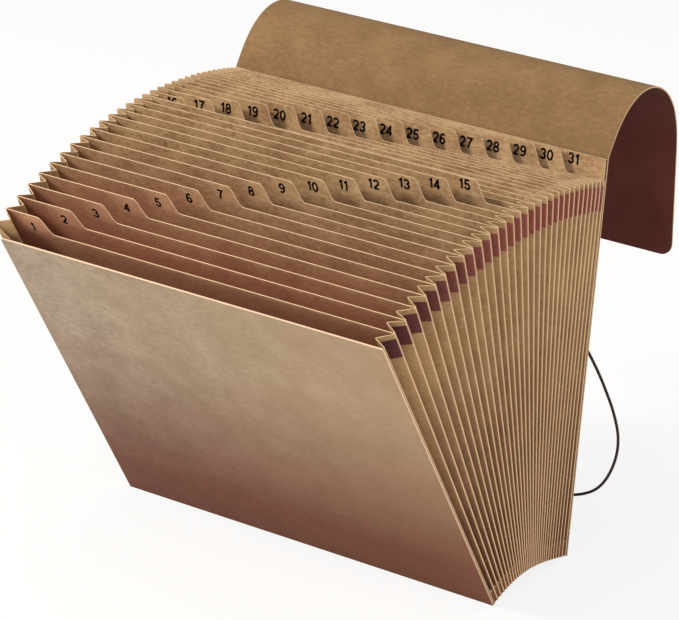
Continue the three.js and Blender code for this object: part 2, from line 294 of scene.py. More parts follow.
def paper_pattern(tree, base, dark, light, strength=1.0):
    """Kraft paper: pulp clouds, short fibres along the sheet and coarse flecks of bark.

    The fibres are drawn about three times as coarse as real ones, so that they show.
    """
    base, dark, light = linear(base), linear(dark), linear(light)
    place = add_node(tree, "ShaderNodeTexCoord").outputs["Object"]
    cloud = add_node(tree, "ShaderNodeTexNoise", {"Vector": place, "Scale": per_metre(22), "Detail": 5.0})
    colour = lay_over(tree, dark, light, cloud.outputs[0], 0.32, 0.72)
    colour = add_node(tree, "ShaderNodeMix", {0: 0.45, 6: colour, 7: base}, data_type="RGBA").outputs[2]
    fibre_place = add_node(tree, "ShaderNodeMapping", {"Vector": place, "Scale": (0.45, 1.0, 1.0)})
    fibre = add_node(tree, "ShaderNodeTexNoise", {
        "Vector": fibre_place.outputs[0], "Scale": per_metre(2.1), "Detail": 4.0, "Roughness": 0.75})
    colour = lay_over(tree, colour, light, fibre.outputs[0], 0.52, 0.78, strength)
    colour = lay_over(tree, colour, dark, fibre.outputs[0], 0.48, 0.22, strength)
    fleck = add_node(tree, "ShaderNodeTexNoise", {"Vector": place, "Scale": per_metre(1.3), "Detail": 2.0})
    colour = lay_over(tree, colour, dark, fleck.outputs[0], 0.64, 0.8)
    bump = add_node(tree, "ShaderNodeBump", {
        "Height": fibre.outputs[0], "Strength": 0.3, "Distance": 0.00015})
    return place, colour, bump.outputs[0]


def kraft_paper(name, base, dark, light, edge, deep):
    """Uncoated kraft: brown pulp with fibres, pale where it was cut, with painted red bounce light and shade
    down in the front pockets.
    """
    material, tree = new_material(name)
    place, colour, bump = paper_pattern(tree, base, dark, light, 1.3)
    # Painted bounce light: the paper is tinted redder low down in the front pockets.
    below = add_node(tree, "ShaderNodeAttribute", attribute_name="pocket_warmth").outputs["Fac"]
    colour = lay_over(tree, colour, linear(deep), below, 0.0, 0.7, 0.85)
    cut = add_node(tree, "ShaderNodeAttribute", attribute_name="cut_edge").outputs["Fac"]
    colour = lay_over(tree, colour, linear(edge), cut)
    finish_material(tree, colour, 0.82, bump, specular=0.25)
    return material


def front_board_material():
    """Pressed board with a smooth grey-beige face, more yellow to the right, and painted shade that makes it
    darker and redder at its foot.
    """
    material, tree = new_material("pressed kraft board")
    place, colour, bump = paper_pattern(tree, "#a69483", "#8f7b66", "#bba994", 1.2)
    across, unused, height = add_node(tree, "ShaderNodeSeparateXYZ", {0: place}).outputs
    colour = lay_over(tree, colour, linear("#b3946c"), across, -0.13, 0.14, 0.6)
    # Painted shade: darker and redder towards the board's foot.
    colour = lay_over(tree, colour, linear("#ab7564"), height, 0.165, 0.03, blend="MULTIPLY")
    cut = add_node(tree, "ShaderNodeAttribute", attribute_name="cut_edge").outputs["Fac"]
    colour = lay_over(tree, colour, linear("#e2c4a4"), cut)
    finish_material(tree, colour, 0.62, bump, specular=0.35)
    return material


def gusset_material():
    """Folded kraft paper, with painted shade that darkens its foot, and pale along its outer folds from wear
    and a painted highlight.
    """
    material, tree = new_material("folded kraft gusset")
    place, colour, bump = paper_pattern(tree, "#b4916a", "#977451", "#c2a279")
    height = add_node(tree, "ShaderNodeSeparateXYZ", {0: place}).outputs["Z"]
    # Painted shade: darker towards the foot.
    colour = lay_over(tree, colour, linear("#a07e7c"), height, 0.2, 0.0, blend="MULTIPLY")
    # Pale outer folds: partly wear, partly a painted highlight.
    ridge = add_node(tree, "ShaderNodeAttribute", attribute_name="ridge").outputs["Fac"]
    colour = lay_over(tree, colour, linear("#dcbb93"), ridge, 0.35, 0.9)
    cut = add_node(tree, "ShaderNodeAttribute", attribute_name="cut_edge").outputs["Fac"]
    colour = lay_over(tree, colour, linear("#dcbb93"), cut)
    finish_material(tree, colour, 0.8, bump, specular=0.25)
    return material


def tape_material():
    """Cloth-backed tape, dark red-brown, with painted shade making it darker towards the front, and pale
    along the folds from wear and a painted highlight.
    """
    material, tree = new_material("red-brown reinforcing tape")
    place = add_node(tree, "ShaderNodeTexCoord").outputs["Object"]
    cloth = add_node(tree, "ShaderNodeTexNoise", {"Vector": place, "Scale": per_metre(1.2), "Detail": 4.0})
    # Painted shade: the tape is darker towards the front.
    along = add_node(tree, "ShaderNodeSeparateXYZ", {0: place}).outputs["Y"]
    dark = lay_over(tree, linear("#462326"), linear("#84483e"), along, -0.15, -0.02)
    light = lay_over(tree, linear("#613436"), linear("#a76658"), along, -0.15, -0.02)
    colour = lay_over(tree, dark, light, cloth.outputs[0], 0.3, 0.75)
    # Pale folds: partly wear, partly a painted highlight.
    ridge = add_node(tree, "ShaderNodeAttribute", attribute_name="ridge").outputs["Fac"]
    colour = lay_over(tree, colour, linear("#d9b795"), ridge, 0.4, 0.95)
    bump = add_node(tree, "ShaderNodeBump", {
        "Height": cloth.outputs[0], "Strength": 0.2, "Distance": 0.0001})
    finish_material(tree, colour, 0.72, bump.outputs[0], specular=0.2)
    return material


def maroon_material():
    """Dark maroon-brown coated face of the flap and the back, with a faint leather-like grain."""
    material, tree = new_material("maroon coated board")
    place = add_node(tree, "ShaderNodeTexCoord").outputs["Object"]
    cloud = add_node(tree, "ShaderNodeTexNoise", {"Vector": place, "Scale": per_metre(40), "Detail": 4.0})
    grain = add_node(tree, "ShaderNodeTexVoronoi", {"Vector": place, "Scale": per_metre(1.4)})
    colour = lay_over(tree, linear("#612f27"), linear("#703f36"), cloud.outputs[0], 0.3, 0.7)
    bump = add_node(tree, "ShaderNodeBump", {
        "Height": grain.outputs["Distance"], "Strength": 0.18, "Distance": 0.0001})
    finish_material(tree, colour, 0.6, bump.outputs[0], specular=0.35)
    return material


def ink_material():
    """Black printing ink, a little duller than the paper's size."""
    material, tree = new_material("black printing ink")
    finish_material(tree, linear("#0d0908"), 0.9, specular=0.1)
    return material


def elastic_material():
    """Braided elastic: fine yarns that cross on the slant."""
    material, tree = new_material("braided elastic")
    across = add_node(tree, "ShaderNodeUVMap", uv_map="along_and_round").outputs[0]
    yarns = []
    for slant in (1.0, -1.0):
        turned = add_node(tree, "ShaderNodeMapping", {
            "Vector": across, "Rotation": (0, 0, slant * math.radians(35))})
        wave = add_node(tree, "ShaderNodeTexWave", {"Vector": turned.outputs[0], "Scale": 1.0})
        yarns.append(wave.outputs["Fac"])
    woven = add_node(tree, "ShaderNodeMath", {0: yarns[0], 1: yarns[1]}, operation="MAXIMUM")
    colour = lay_over(tree, linear("#1c1213"), linear("#3a2828"), woven.outputs[0])
    bump = add_node(tree, "ShaderNodeBump", {
        "Height": woven.outputs[0], "Strength": 0.5, "Distance": 0.0002})
    finish_material(tree, colour, 0.75, bump.outputs[0], specular=0.3, sheen=0.2)
    return material


def eyelet_material():
    """Stamped brass, dulled by handling."""
    material, tree = new_material("dulled brass")
    place = add_node(tree, "ShaderNodeTexCoord").outputs["Object"]
    stain = add_node(tree, "ShaderNodeTexNoise", {"Vector": place, "Scale": per_metre(2.5), "Detail": 3.0})
    colour = lay_over(tree, linear("#8d7647"), linear("#b49a63"), stain.outputs[0])
    finish_material(tree, colour, 0.38, specular=0.5, metallic=1.0)
    return material


# The last colour of each kraft is its painted bounce light low in the pockets.
KRAFT = kraft_paper("uncoated kraft divider", "#be9a72", "#8a6444", "#d2b48a", "#dfc39e", "#cc8670")
FLAP_KRAFT = kraft_paper("kraft flap lining", "#856644", "#75593a", "#927350", "#c9a884", "#856644")
FRONT_BOARD = front_board_material()
GUSSET = gusset_material()
TAPE = tape_material()
MAROON = maroon_material()
INK = ink_material()
ELASTIC = elastic_material()
BRASS = eyelet_material()


# Mesh helpers

def add_piece(name, mesh, materials, body, replaces=()):
    piece = bpy.data.objects.new(name, mesh)
    bpy.context.collection.objects.link(piece)
    for material in materials[len(mesh.materials):]:
        mesh.materials.append(material)
    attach(piece, body)
    if replaces:
        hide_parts(*replaces)
    return piece


def outward(mesh):
    """Turns all faces of a closed mesh outwards."""
    work = bmesh.new()
    work.from_mesh(mesh)
    bmesh.ops.recalc_face_normals(work, faces=work.faces)
    work.to_mesh(mesh)
    work.free()


def closed_grid(name, outer_rows, inner_rows, ridges=None):
    """A thin body between two surfaces, in millimetres, with its cut edges marked.

    Faces of the outer surface have material 0 and those of the inner one material 1.
    """
    rows = len(outer_rows)
    columns = len(outer_rows[0])
    points = [point * MM for row in outer_rows for point in row]
    points += [point * MM for row in inner_rows for point in row]
    inner = rows * columns
    faces = []
    kinds = []
    for row in range(rows - 1):
        for column in range(columns - 1):
            corner = row * columns + column
            quad = (corner, corner + 1, corner + columns + 1, corner + columns)
            faces.append(quad)
            kinds.append(0)
            faces.append(tuple(inner + place for place in reversed(quad)))
            kinds.append(1)
    rim = [(row * columns, (row + 1) * columns) for row in range(rows - 1)]
    rim += [((row + 1) * columns + columns - 1, row * columns + columns - 1) for row in range(rows - 1)]
    rim += [(column + 1, column) for column in range(columns - 1)]
    last = (rows - 1) * columns
    rim += [(last + column, last + column + 1) for column in range(columns - 1)]
    for first, second in rim:
        faces.append((first, second, inner + second, inner + first))
        kinds.append(2)
    mesh = bpy.data.meshes.new(name)
    mesh.from_pydata(points, [], faces)
    cut = mesh.attributes.new("cut_edge", "FLOAT", "FACE")
    cut.data.foreach_set("value", [1.0 if kind == 2 else 0.0 for kind in kinds])
    if ridges is not None:
        ridge = mesh.attributes.new("ridge", "FLOAT", "POINT")
        along = [value for value in ridges for unused in range(columns)]
        ridge.data.foreach_set("value", along + along)
    mesh.polygons.foreach_set("material_index", [1 if kind == 1 else 0 for kind in kinds])
    outward(mesh)
    return mesh


# Dividers, made by one geometry tree

SHEET_COLUMNS = 300
SHEET_ROWS = 14
# How deep below the top edge the painted bounce light reaches, and in how many front pockets it shows.
POCKET_SHADE_DEPTH = 45
BOUNCE_LIT_POCKETS = 9
DIVIDER_BOW = 0.6
SHEET_INPUTS = (
    "Width", "Foot", "Low", "Rise", "Step Start", "Step Run", "Thickness", "Bow", "Seed", "Warmth")

# How a point of the sheet is worked out: each row names a value, its sum and the sum's terms
SHEET_SUMS = (
    ("share", "ADD", "along", 0.5),
    ("top", "ADD", "Low", "step"),
    ("span", "SUBTRACT", "top", "Foot"),
    ("height", "MULTIPLY_ADD", "span", "share", "Foot"),
    ("half", "MULTIPLY", "Width", 0.5),
    ("reach", "DIVIDE", "across", "half"),
    ("square", "MULTIPLY", "reach", "reach"),
    ("inside", "SUBTRACT", 1.0, "square"),
    ("swing", "SUBTRACT", "wave", 0.5),
    ("freedom", "MULTIPLY", "inside", "share"),
    ("slack", "MULTIPLY", "freedom", "Bow"),
    ("bow", "MULTIPLY", "swing", "slack"),
    ("half thickness", "MULTIPLY", "Thickness", 0.5),
    ("back", "SUBTRACT", "bow", "half thickness"),
    # The last rows give the share of painted bounce light: more of it further below the top edge.
    ("below", "SUBTRACT", "top", "height"),
    ("deep", "DIVIDE", "below", POCKET_SHADE_DEPTH * MM),
    ("tint", "MULTIPLY_ADD", "deep", 0.5, 0.35),
    ("warm", "MULTIPLY", "tint", "Warmth"),
)


def sheet_tree():
    """A standing sheet whose top edge drops from high to low by an S-shaped step."""
    tree = bpy.data.node_groups.new("stepped sheet", "GeometryNodeTree")
    for name in SHEET_INPUTS:
        tree.interface.new_socket(name, in_out="INPUT", socket_type="NodeSocketFloat")
    tree.interface.new_socket("Material", in_out="INPUT", socket_type="NodeSocketMaterial")
    tree.interface.new_socket("Geometry", in_out="OUTPUT", socket_type="NodeSocketGeometry")
    given = add_node(tree, "NodeGroupInput").outputs
    grid = add_node(tree, "GeometryNodeMeshGrid", {
        "Size X": given["Width"], "Size Y": 1.0,
        "Vertices X": SHEET_COLUMNS + 1, "Vertices Y": SHEET_ROWS + 1})
    place = add_node(tree, "GeometryNodeInputPosition").outputs[0]
    across, along, unused = add_node(tree, "ShaderNodeSeparateXYZ", {0: place}).outputs
    ends = {0: given["Step Start"], 1: given["Step Run"]}
    step_end = add_node(tree, "ShaderNodeMath", ends, operation="ADD").outputs[0]
    step = add_node(tree, "ShaderNodeMapRange", {
        "Value": across, "From Min": given["Step Start"], "From Max": step_end,
        "To Min": given["Rise"], "To Max": 0.0}, interpolation_type="SMOOTHERSTEP").outputs[0]
    wave = add_node(tree, "ShaderNodeTexNoise", {
        "Vector": place, "W": given["Seed"], "Scale": 9.0, "Detail": 0.0}, noise_dimensions="4D").outputs[0]
    known = {name: given[name] for name in SHEET_INPUTS}
    known.update({"across": across, "along": along, "step": step, "wave": wave})
    for name, operation, *terms in SHEET_SUMS:
        inputs = {number: known.get(term, term) for number, term in enumerate(terms)}
        known[name] = add_node(tree, "ShaderNodeMath", inputs, operation=operation).outputs[0]
    at_back = add_node(tree, "ShaderNodeCombineXYZ", {
        "X": across, "Y": known["height"], "Z": known["back"]}).outputs[0]
    # Stores the share of painted bounce light for the kraft material.
    marked_grid = add_node(tree, "GeometryNodeStoreNamedAttribute", {
        "Geometry": grid.outputs["Mesh"], "Name": "pocket_warmth", "Value": known["warm"]},
        data_type="FLOAT", domain="POINT").outputs[0]
    sheet = add_node(tree, "GeometryNodeSetPosition", {
        "Geometry": marked_grid, "Position": at_back}).outputs[0]
    lift = add_node(tree, "ShaderNodeCombineXYZ", {"Z": 1.0}).outputs[0]
    raised = add_node(tree, "GeometryNodeExtrudeMesh", {
        "Mesh": sheet, "Offset": lift, "Offset Scale": given["Thickness"], "Individual": False})
    marked = add_node(tree, "GeometryNodeStoreNamedAttribute", {
        "Geometry": raised.outputs["Mesh"], "Name": "cut_edge", "Value": raised.outputs["Side"]},
        data_type="FLOAT", domain="FACE").outputs[0]
    under = add_node(tree, "GeometryNodeFlipFaces", {"Mesh": sheet}).outputs[0]
    both = add_node(tree, "GeometryNodeJoinGeometry")
    tree.links.new(marked, both.inputs[0])
    tree.links.new(under, both.inputs[0])
    welded = add_node(tree, "GeometryNodeMergeByDistance", {
        "Geometry": both.outputs[0], "Distance": 0.00001}).outputs[0]
    real = add_node(tree, "GeometryNodeRealizeInstances", {"Geometry": welded}).outputs[0]
    coated = add_node(tree, "GeometryNodeSetMaterial", {
        "Geometry": real, "Material": given["Material"]}).outputs[0]
    result = add_node(tree, "NodeGroupOutput")
    tree.links.new(coated, result.inputs[0])
    return tree


def run_tree(tree, name, **values):
    """Runs a geometry tree once with its named inputs and returns a plain mesh."""
    carrier = bpy.data.objects.new(name, bpy.data.meshes.new(name))
    bpy.context.collection.objects.link(carrier)
    modifier = carrier.modifiers.new("shape", "NODES")
    modifier.node_group = tree
    for item in tree.interface.items_tree:
        key = item.name.lower().replace(" ", "_")
        if item.in_out == "INPUT" and key in values:
            modifier[item.identifier] = values[key]
    bpy.context.view_layer.update()
    evaluated = carrier.evaluated_get(bpy.context.evaluated_depsgraph_get())
    mesh = bpy.data.meshes.new_from_object(evaluated)
    mesh.name = name
    bpy.data.objects.remove(carrier)
    return mesh


def shoulder_of(index):
    place = index - 1 if index <= FIRST_BANK_COUNT else index - 1 - FIRST_BANK_COUNT
    return FIRST_TAB_WIDTH - HALF_WIDTH + TAB_PITCH * place


def divider_mesh(tree, index):
    """A divider lying in its own frame, with its top edge stepped down to the right of its number."""
    inset = GUSSET_THICKNESS + CLEARANCE
    start = shoulder_of(index) + TAB_STEP_START if index < POCKET_COUNT else FILE_WIDTH
    return run_tree(
        tree, f"kraft_divider_{index:02d}",
        width=(FILE_WIDTH - 2 * inset) * MM,
        foot=inset * MM,
        low=POCKET_HEIGHT * MM,
        rise=TAB_RISE * MM,
        step_start=start * MM,
        step_run=TAB_STEP_RUN * MM,
        thickness=DIVIDER_THICKNESS * MM,
        bow=DIVIDER_BOW * MM,
        seed=float(index),
        # The share of painted bounce light, fading out over the front pockets.
        warmth=max(0.0, 1.0 - (index - 1) / BOUNCE_LIT_POCKETS),
        material=KRAFT,
    )


# Printed numbers, drawn with strokes in a cell 1 high

def arc(centre, radii, start, end, steps=14):
    points = []
    for step in range(steps + 1):
        angle = math.radians(mix(start, end, step / steps))
        points.append((centre[0] + radii[0] * math.cos(angle), centre[1] + radii[1] * math.sin(angle)))
    return points


DIGITS = {
    "0": (0.66, [arc((0.33, 0.5), (0.25, 0.43), 90, 450, 28)]),
    "1": (0.44, [[(0.3, 0.0), (0.3, 1.0)], [(0.3, 0.92), (0.21, 0.79), (0.05, 0.75)]]),
    "2": (0.66, [arc((0.33, 0.68), (0.24, 0.25), 170, -40) + [(0.1, 0.08)], [(0.05, 0.08), (0.61, 0.08)]]),
    "3": (0.66, [arc((0.32, 0.71), (0.22, 0.22), 165, -90), arc((0.32, 0.28), (0.25, 0.22), 90, -165)]),
    "4": (0.68, [[(0.65, 0.26), (0.07, 0.26), (0.45, 0.93)], [(0.46, 0.0), (0.46, 1.0)]]),
    "5": (0.66, [[(0.58, 0.93), (0.17, 0.93), (0.11, 0.46)], arc((0.32, 0.32), (0.25, 0.25), 145, -165)]),
    "6": (0.66, [arc((0.33, 0.3), (0.24, 0.24), 90, 450, 26), arc((0.38, 0.5), (0.3, 0.43), 55, 200)]),
    "7": (0.66, [[(0.06, 0.93), (0.6, 0.93), (0.37, 0.5), (0.27, 0.0)]]),
    "8": (0.66, [arc((0.33, 0.72), (0.2, 0.21), 90, 450, 26), arc((0.33, 0.28), (0.25, 0.22), 90, 450, 26)]),
    "9": (0.66, [arc((0.33, 0.7), (0.24, 0.24), 90, 450, 26), arc((0.28, 0.5), (0.3, 0.43), 20, -125)]),
}


def stroke_ribbon(work, points, width, depth):
    """A flat ribbon of even width along the points, as a thin closed body."""
    sides = []
    count = len(points)
    closed = (Vector(points[0]) - Vector(points[-1])).length < 1e-6
    for place, point in enumerate(points):
        before = points[place - 1] if place > 0 else (points[-2] if closed else point)
        after = points[place + 1] if place + 1 < count else (points[1] if closed else point)
        into = Vector(point) - Vector(before)
        out = Vector(after) - Vector(point)
        into = into.normalized() if into.length > 0 else out.normalized()
        out = out.normalized() if out.length > 0 else into
        along = (into + out).normalized()
        reach = width / 2 / max(along.dot(out), 0.5)
        aside = Vector((-along.y, along.x)) * reach
        sides.append((Vector(point) + aside, Vector(point) - aside))
    rings = []
    for left, right in sides:
        corners = ((left, depth), (right, depth), (right, 0.0), (left, 0.0))
        rings.append([work.verts.new((spot.x, spot.y, height)) for spot, height in corners])
    for first, second in zip(rings, rings[1:]):
        for corner in range(4):
            other = (corner + 1) % 4
            work.faces.new((first[corner], first[other], second[other], second[corner]))
    if not closed:
        work.faces.new(rings[0][::-1])
        work.faces.new(rings[-1])


def number_place(index):
    """Where a number is printed: the first bank climbs to the right, the second one dips in its middle."""
    if index <= FIRST_BANK_COUNT:
        share = (index - 1) / (FIRST_BANK_COUNT - 1)
        return shoulder_of(index) - NUMBER_BEFORE_SHOULDER, NUMBER_LOW + NUMBER_CLIMB * share
    share = (index - 1 - FIRST_BANK_COUNT) / FIRST_BANK_COUNT
    bend = (2 * share - 1) ** 2
    across = shoulder_of(index) - NUMBER_BEFORE_SHOULDER - NUMBER_DRIFT * (1 - bend)
    return across, NUMBER_SECOND_LOW + NUMBER_SECOND_DIP * bend


def number_on_tab(index, sheet):
    """The ink of one number, lying on the front face of its divider."""
    ink = bmesh.new()
    text = str(index)
    widths = [DIGITS[digit][0] * NUMBER_HEIGHT for digit in text]
    total = sum(widths) + NUMBER_SPACING * (len(text) - 1)
    centre, middle_height = number_place(index)
    across = centre - total / 2
    level = middle_height - NUMBER_HEIGHT / 2
    for digit, width in zip(text, widths):
        for stroke in DIGITS[digit][1]:
            points = [
                ((across + x * NUMBER_HEIGHT) * MM, (level + y * NUMBER_HEIGHT) * MM) for x, y in stroke]
            stroke_ribbon(ink, points, NUMBER_STROKE * MM, NUMBER_INK * MM)
        across += width + NUMBER_SPACING
    bmesh.ops.recalc_face_normals(ink, faces=ink.faces)
    corners = [vertex.co for vertex in sheet.vertices]
    surface = BVHTree.FromPolygons(corners, [face.vertices for face in sheet.polygons])
    for vertex in ink.verts:
        above = Vector((vertex.co.x, vertex.co.y, 0.01))
        hit = surface.ray_cast(above, Vector((0, 0, -1)))[0]
        vertex.co.z += hit.z
    return ink


def add_dividers():
    """The dividers, and all their printed numbers as one piece of ink."""
    tree = sheet_tree()
    numbers = bmesh.new()
    for index in range(1, POCKET_COUNT + 1):
        node = f"divider_{index:02d}"
        mesh = divider_mesh(tree, index)
        ink = number_on_tab(index, mesh)
        ink.transform(PANELS[index].matrix())
        printed = bpy.data.meshes.new("number")
        ink.to_mesh(printed)
        ink.free()
        numbers.from_mesh(printed)
        bpy.data.meshes.remove(printed)
        mesh.transform(PANELS[index].matrix())
        add_piece(f"kraft_{node}", mesh, [KRAFT], "file", [node])
    mesh = bpy.data.meshes.new("printed_numbers")
    numbers.to_mesh(mesh)
    numbers.free()
    add_piece("printed_numbers", mesh, [INK], "file")


# Bellows gusset and its tape

SIDE_STEPS = 14
BOTTOM_STEPS = 4
RIDGE_ANGLES = (-90, -50, 0, 50, 90)
# How pale each point round an outer fold is painted: partly wear, partly a painted highlight.
RIDGE_WEAR_AND_HIGHLIGHT = (0.0, 0.45, 1.0, 0.45, 0.0)
RIDGE_ROUNDING = 0.6


def ridge_profile(index, cover):
    """Depth and distance behind of the round outer fold, for that much paper outside its inner face."""
    near = half_fold(index) + cover
    profile = []
    for angle in RIDGE_ANGLES:
        turn = math.radians(angle)
        depth = GUSSET_THICKNESS - cover + near * (1 - math.cos(turn)) * RIDGE_ROUNDING
        profile.append((depth, near * math.sin(turn)))
    return profile


class FoldLine:
    """A line that runs along the bellows: its panel frame, and its depth and distance behind at a height."""

    def __init__(self, frame, place, ridge, drop=0.0):
        self.frame = frame
        self.place = place
        self.ridge = ridge
        self.drop = drop


def pleat_lines(cover):
    """Ridge and valley lines from front to back; cover is the distance outside the paper's inner face."""
    lines = []
    for index in range(POCKET_COUNT + 1):
        for wear_and_highlight, (depth, behind) in zip(RIDGE_WEAR_AND_HIGHLIGHT, ridge_profile(index, cover)):
            lines.append(FoldLine(PANELS[index], lambda height, d=depth, b=behind: (d, b), wear_and_highlight))
        if index < POCKET_COUNT:
            pocket = index + 1
            inward = FOLD_GAP + GUSSET_THICKNESS - cover
            for side in (-1, 1):
                lines.append(FoldLine(
                    POCKETS[index],
                    lambda height, p=pocket, s=side: (
                        fold_depth(p, height) - cover, s * inward + fold_sway(p, height)),
                    -1.0))
    return lines


def glue_line(index, side, cover, depth, drop):
    behind = side * (half_fold(index) + cover)
    return FoldLine(PANELS[index], lambda height: (depth, behind), 0.0, drop)


def mouth_point(line, side, height):
    depth, behind = line.place(height)
    return line.frame.at(side * (HALF_WIDTH - depth), height, behind)


def line_points(line):
    """A bellows line from the right mouth, round the bottom, to the left mouth."""
    corner_depth, corner_behind = line.place(0)
    right_top = POCKET_HEIGHT - max(line.drop - TAB_RISE, 0)
    left_top = TAB_HEIGHT - line.drop
    points = []
    for step in range(SIDE_STEPS):
        points.append(mouth_point(line, 1, mix(right_top, corner_depth, step / SIDE_STEPS)))
    for step in range(BOTTOM_STEPS + 1):
        reach = mix(HALF_WIDTH - corner_depth, corner_depth - HALF_WIDTH, step / BOTTOM_STEPS)
        points.append(line.frame.at(reach, corner_depth, corner_behind))
    for step in range(1, SIDE_STEPS + 1):
        points.append(mouth_point(line, -1, mix(corner_depth, left_top, step / SIDE_STEPS)))
    return points


CORNER_TUCK_FOOT = 0.4
CORNER_TUCK_HEIGHT = 10.5
CORNER_TUCK_START = 0.5
CORNER_TUCK_LENGTH = 8
CORNER_TUCK_GAP = 0.04
CORNER_TUCK_THINNEST = 0.1


def corner_tuck_boxes():
    """The tucked paper that closes each slot of the bellows at its two bottom corners."""
    boxes = []
    for pocket, frame in enumerate(POCKETS, 1):
        half = half_room(pocket, CORNER_TUCK_HEIGHT) - CORNER_TUCK_GAP
        if half < CORNER_TUCK_THINNEST:
            continue
        for side in (-1, 1):
            outside = side * (HALF_WIDTH - CORNER_TUCK_START)
            inside = side * (HALF_WIDTH - CORNER_TUCK_LENGTH)
            boxes.append([
                frame.at(across, height, behind) * MM
                for height in (CORNER_TUCK_FOOT, CORNER_TUCK_HEIGHT)
                for across in (outside, inside)
                for behind in (-half, half)])
    return boxes


def add_boxes(mesh, boxes):
    """Adds boxes of eight corners to a mesh, with their upper faces marked as cut edges."""
    work = bmesh.new()
    work.from_mesh(mesh)
    cut = work.faces.layers.float["cut_edge"]
    for box in boxes:
        corners = [work.verts.new(corner) for corner in box]
        faces = []
        for quad in ((0, 1, 3, 2), (4, 6, 7, 5), (0, 4, 5, 1), (2, 3, 7, 6), (0, 2, 6, 4), (1, 5, 7, 3)):
            faces.append(work.faces.new([corners[place] for place in quad]))
        faces[1][cut] = 1.0
    bmesh.ops.recalc_face_normals(work, faces=work.faces)
    work.to_mesh(mesh)
    work.free()


def add_bellows():
    drop = TAB_RISE + GLUE_SLANT_DROP
    surfaces = []
    for cover in (GUSSET_THICKNESS, 0.0):
        lines = [glue_line(0, -1, cover, width, drop) for width in (GLUE_STRIP_WIDTH, GLUE_SLANT_WIDTH)]
        lines += pleat_lines(cover)
        lines.append(glue_line(POCKET_COUNT, 1, cover, GLUE_STRIP_WIDTH, 0))
        surfaces.append([line_points(line) for line in lines])
    outer, inner = surfaces
    ridges = [line.ridge for line in lines]
    mesh = closed_grid("bellows_gusset_paper", outer, inner, ridges)
    add_boxes(mesh, corner_tuck_boxes())
    add_piece("bellows_gusset_paper", mesh, [GUSSET, GUSSET], "file", ["bellows_gusset"])


def tape_lines(cover):
    """The tape's lines over the outer folds, and across the roots of the inner ones."""
    lines = []
    for index in range(POCKET_COUNT + 1):
        profile = ridge_profile(index, GUSSET_THICKNESS + cover)
        for angle, wear_and_highlight, (depth, behind) in zip(RIDGE_ANGLES, RIDGE_WEAR_AND_HIGHLIGHT, profile):
            beyond = (index == 0 and angle < 0) or (index == POCKET_COUNT and angle > 0)
            if not beyond:
                lines.append(FoldLine(PANELS[index], lambda height, d=depth, b=behind: (d, b), wear_and_highlight))
        if index < POCKET_COUNT:
            pocket = index + 1

            def tape_fold(height, side, p=pocket):
                full = fold_depth(p, height) - GUSSET_THICKNESS
                share = 1 - (cover + FOLD_GAP) / half_room(p, height)
                return max(full * share, TAPE_FOLD_MINIMUM), side * FOLD_GAP + fold_sway(p, height)

            for side in (-1, 1):
                lines.append(FoldLine(
                    POCKETS[index], lambda height, f=tape_fold, s=side: f(height, s), -1.0))
    return lines


def add_tape(name, side, mouth_height, node):
    heights = [mouth_height - TAPE_INSET - TAPE_WIDTH * step / 3 for step in range(4)]
    surfaces = []
    for cover in (TAPE_OFFSET + TAPE_THICKNESS, TAPE_OFFSET):
        lines = tape_lines(cover)
        surfaces.append([[mouth_point(line, side, height) for height in heights] for line in lines])
    outer, inner = surfaces
    ridges = [line.ridge for line in lines]
    mesh = closed_grid(name, outer, inner, ridges)
    add_piece(name, mesh, [TAPE, TAPE], "file", [node])


# Boards, cut from a flat outline

FRONT_BOARD_BEVEL = 0.15
BACK_BOARD_BEVEL = 0.1


def outline_mesh(name, outline, holes, thickness, bevel):
    """A flat board with softened edges, drawn in the XY plane in millimetres."""
    curve = bpy.data.curves.new(name, "CURVE")
    curve.dimensions = "2D"
    curve.fill_mode = "BOTH"
    curve.extrude = (thickness / 2 - bevel) * MM
    curve.bevel_depth = bevel * MM
    curve.bevel_resolution = 2
    curve.offset = -bevel * MM
    for points in [outline, *holes]:
        spline = curve.splines.new("POLY")
        spline.points.add(len(points) - 1)
        for target, (x, y) in zip(spline.points, points):
            target.co = (x * MM, y * MM, 0, 1)
        spline.use_cyclic_u = True
    carrier = bpy.data.objects.new(name, curve)
    bpy.context.collection.objects.link(carrier)
    bpy.context.view_layer.update()
    evaluated = carrier.evaluated_get(bpy.context.evaluated_depsgraph_get())
    mesh = bpy.data.meshes.new_from_object(evaluated)
    bpy.data.objects.remove(carrier)
    work = bmesh.new()
    work.from_mesh(mesh)
    bmesh.ops.remove_doubles(work, verts=work.verts, dist=0.000001)
    bmesh.ops.recalc_face_normals(work, faces=work.faces)
    work.to_mesh(mesh)
    work.free()
    cut = mesh.attributes.new("cut_edge", "FLOAT", "FACE")
    cut.data.foreach_set("value", [1.0 if abs(face.normal.z) < 0.8 else 0.0 for face in mesh.polygons])
    return mesh


def board_outline(bottom, top, radius):
    points = [(-HALF_WIDTH, bottom), (HALF_WIDTH, bottom)]
    if radius == 0:
        return points + [(HALF_WIDTH, top), (-HALF_WIDTH, top)]
    right = (HALF_WIDTH - radius, top - radius)
    left = (radius - HALF_WIDTH, top - radius)
    return points + arc(right, (radius, radius), 0, 90, 6) + arc(left, (radius, radius), 90, 180, 6)


def floor_height(panel, behind):
    """The height in a panel's frame at which its outer corner reaches the floor."""
    return -(panel.foot[1] + behind * panel.back.z) / panel.up.z


